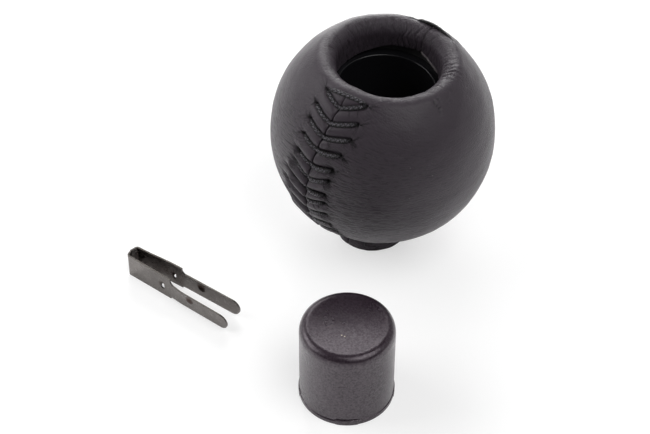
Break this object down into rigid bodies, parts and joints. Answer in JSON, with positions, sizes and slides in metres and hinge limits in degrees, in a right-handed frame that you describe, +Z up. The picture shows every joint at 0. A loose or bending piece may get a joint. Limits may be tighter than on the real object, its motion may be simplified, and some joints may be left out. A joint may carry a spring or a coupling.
{
  "type": "gear shift knob",
  "caption": "Leather-covered ball knob with laced seams and an open well, its dished push-in cap and U-shaped spring clip beside it.",
  "frame": {"origin": "centre of the lever bore on the foot's face, where the knob stands", "axes": "+Z up along the lever bore, +X to the right and +Y away from the viewer of the picture"},
  "size_m": [0.082, 0.0859, 0.051],
  "materials": {
    "moulded_body": "matte",
    "insert_plastic": "gloss",
    "leather": "satin",
    "thread": "braided",
    "cap_plastic": "fine grain",
    "spring_steel": "blackened"
  },
  "bodies": {
    "root": {"ball_body": "moulded_body", "insert": "insert_plastic", "leather_front": "leather", "leather_back": "leather", "lacing_front": "thread", "lacing_back": "thread", "button_cap": "cap_plastic", "retaining_clip": "spring_steel"}
  },
  "joints": []
}
